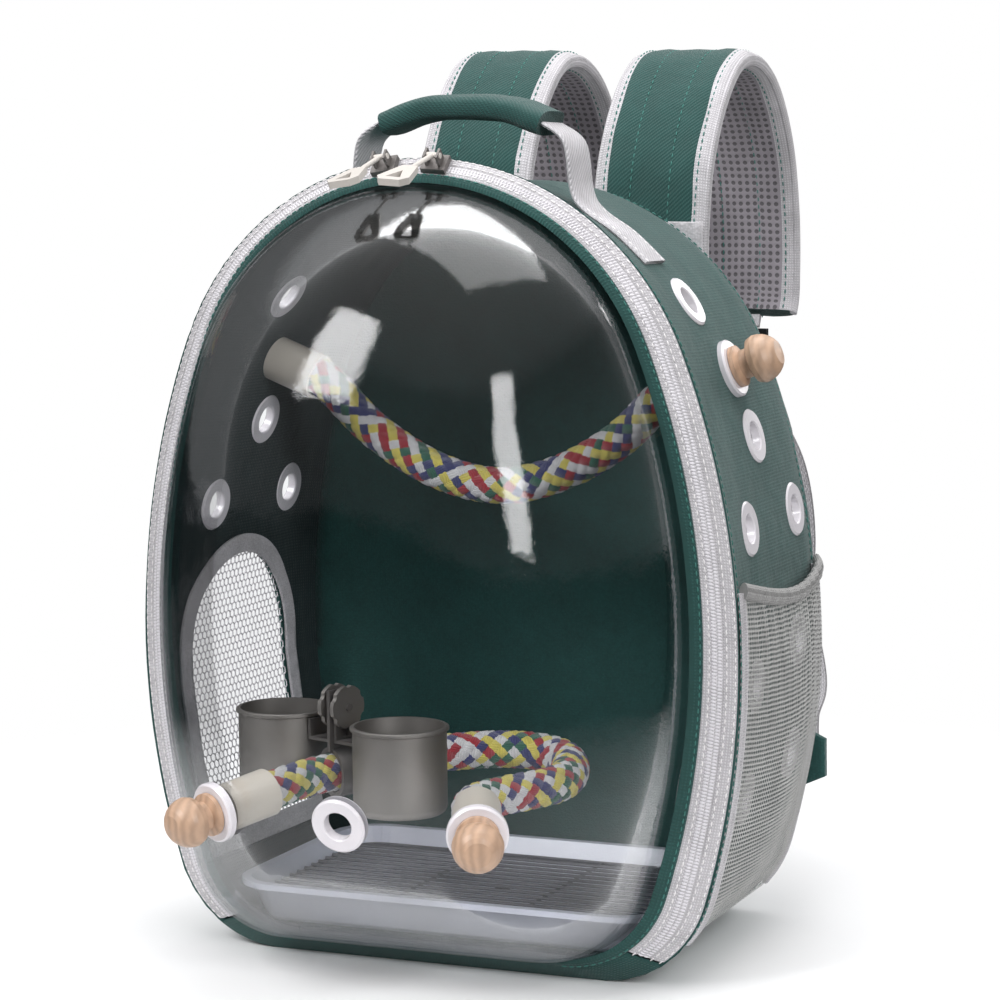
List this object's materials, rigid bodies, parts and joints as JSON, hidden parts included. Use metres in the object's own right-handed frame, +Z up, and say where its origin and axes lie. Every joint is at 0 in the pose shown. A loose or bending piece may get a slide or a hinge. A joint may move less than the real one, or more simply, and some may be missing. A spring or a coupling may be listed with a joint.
{
  "type": "bird travel carrier",
  "caption": "Soft arched backpack carrier for a small bird, with a clear domed door zipped round the top, rope perches, steel cups and a lift-out tray.",
  "frame": {"origin": "centre of the flat base panel, on the surface the carrier stands on", "axes": "+X to the right seen from the front, +Y towards the back with its shoulder straps, +Z up"},
  "size_m": [0.3337, 0.4571, 0.4602],
  "materials": {
    "shell_fabric": "dark green woven polyester, fine weave",
    "spacer_mesh": "grey spacer mesh",
    "lining": "dark lining fabric",
    "binding": "off-white woven tape",
    "grey_binding": "grey woven tape",
    "elastic": "gathered elastic binding",
    "webbing": "light grey ribbed webbing",
    "window_mesh": "open mesh",
    "pocket_mesh": "light mesh",
    "rope": "braided cotton rope in five colours",
    "zip_coil": "nylon coil",
    "eyelet_plastic": "glossy white moulding",
    "ferrule_plastic": "ivory moulding",
    "buckle_plastic": "black acetal",
    "pull_plastic": "light grey moulding",
    "tray_plastic": "pale lavender-grey moulding",
    "clear_plastic": "clear thermoformed sheet",
    "knob_wood": "turned pale hardwood",
    "stud_steel": "zinc-plated steel",
    "bracket_steel": "bright pressed steel",
    "cup_steel": "spun stainless steel",
    "grid_steel": "bright wire",
    "slider_metal": "light grey painted zinc"
  },
  "bodies": {
    "bag": {"base_panel": "shell_fabric", "side_panel_left": "shell_fabric", "side_panel_right": "shell_fabric", "top_panel": "shell_fabric", "back_panel": "shell_fabric", "back_cushion": "spacer_mesh", "base_pad": "lining", "front_seam_tape": "binding", "zip_coil_body": "zip_coil", "side_vents_left": "eyelet_plastic", "side_vents_right": "eyelet_plastic", "window_mesh": "window_mesh", "window_binding": "grey_binding", "side_pocket": "pocket_mesh", "pocket_binding": "elastic", "handle_webbing": "webbing", "handle_grip": "shell_fabric", "strap_patch": "webbing", "strap_left": "shell_fabric", "strap_right": "shell_fabric", "strap_end_tabs": "webbing", "ladder_locks": "buckle_plastic", "strap_webbing": "webbing", "webbing_tails": "webbing", "corner_tabs": "shell_fabric", "upper_rope": "rope", "upper_ferrules": "ferrule_plastic", "upper_studs": "stud_steel", "upper_washers": "eyelet_plastic"},
    "door": {"zip_coil_door": "zip_coil", "zip_tape_door": "binding", "door_band": "shell_fabric", "hinge_strip": "shell_fabric", "dome": "clear_plastic", "front_vent": "eyelet_plastic", "lower_rope": "rope", "lower_ferrules": "ferrule_plastic", "lower_studs": "stud_steel", "lower_washers": "eyelet_plastic", "cup_clamp": "bracket_steel", "cup_rod": "stud_steel", "cup_hook_left": "bracket_steel", "cup_hook_right": "bracket_steel"},
    "upper_knob_left": {"upper_knob_left": "knob_wood"},
    "upper_knob_right": {"upper_knob_right": "knob_wood"},
    "lower_knob_left": {"lower_knob_left": "knob_wood"},
    "lower_knob_right": {"lower_knob_right": "knob_wood"},
    "cup_nut_left": {"cup_nut_left": "bracket_steel"},
    "cup_nut_right": {"cup_nut_right": "bracket_steel"},
    "slider_left": {"slider_left": "slider_metal"},
    "slider_right": {"slider_right": "slider_metal"},
    "pull_left": {"pull_left": "pull_plastic"},
    "pull_right": {"pull_right": "pull_plastic"},
    "tray": {"tray": "tray_plastic"},
    "floor_grid": {"floor_grid": "grid_steel"},
    "cup_left": {"cup_left": "cup_steel"},
    "cup_right": {"cup_right": "cup_steel"}
  },
  "joints": [
    {"name": "door_hinge", "type": "hinge", "parent": "bag", "child": "door", "pos_m": [0, -0.082, 0], "axis": [1, 0, 0], "range_deg": [0, 100]},
    {"name": "slider_left_run", "type": "hinge", "parent": "door", "child": "slider_left", "pos_m": [0, -0.0864, 0.2685], "axis": [0, -1, 0], "range_deg": [0, 55]},
    {"name": "slider_right_run", "type": "hinge", "parent": "door", "child": "slider_right", "pos_m": [0, -0.0864, 0.2685], "axis": [0, 1, 0], "range_deg": [0, 57]},
    {"name": "pull_left_swing", "type": "hinge", "parent": "slider_left", "child": "pull_left", "pos_m": [-0.01994, -0.09269, 0.4104], "axis": [-0.9903, 0, -0.1392], "range_deg": [0, 120]},
    {"name": "pull_right_swing", "type": "hinge", "parent": "slider_right", "child": "pull_right", "pos_m": [0.00875, -0.09269, 0.41153], "axis": [-0.9981, 0, 0.061], "range_deg": [0, 120]},
    {"name": "upper_knob_right_turn", "type": "hinge", "parent": "bag", "child": "upper_knob_right", "pos_m": [0.1288, 0, 0.3], "axis": [0.9377, 0.044, 0.3447], "continuous": true},
    {"name": "lower_knob_right_turn", "type": "hinge", "parent": "door", "child": "lower_knob_right", "pos_m": [0.069, -0.18246, 0.095], "axis": [0.4121, -0.8979, -0.1549], "continuous": true},
    {"name": "cup_nut_right_turn", "type": "hinge", "parent": "door", "child": "cup_nut_right", "pos_m": [-0.038, -0.11, 0.136], "axis": [0.9455, -0.3256, 0], "continuous": true},
    {"name": "upper_knob_left_turn", "type": "hinge", "parent": "bag", "child": "upper_knob_left", "pos_m": [-0.1288, 0, 0.3], "axis": [-0.9377, 0.044, 0.3447], "continuous": true},
    {"name": "lower_knob_left_turn", "type": "hinge", "parent": "door", "child": "lower_knob_left", "pos_m": [-0.069, -0.18246, 0.095], "axis": [-0.4121, -0.8979, -0.1549], "continuous": true},
    {"name": "cup_nut_left_turn", "type": "hinge", "parent": "door", "child": "cup_nut_left", "pos_m": [-0.038, -0.11, 0.136], "axis": [0.9455, -0.3256, 0], "continuous": true},
    {"name": "cup_left_lift", "type": "slide", "parent": "door", "child": "cup_left", "axis": [0, 0, 1], "range_m": [0, 0.03]},
    {"name": "cup_right_lift", "type": "slide", "parent": "door", "child": "cup_right", "axis": [0, 0, 1], "range_m": [0, 0.03]},
    {"name": "tray_lift", "type": "slide", "parent": "bag", "child": "tray", "axis": [0, 0, 1], "range_m": [0, 0.028]},
    {"name": "grid_lift", "type": "slide", "parent": "tray", "child": "floor_grid", "axis": [0, 0, 1], "range_m": [0, 0.025]}
  ]
}
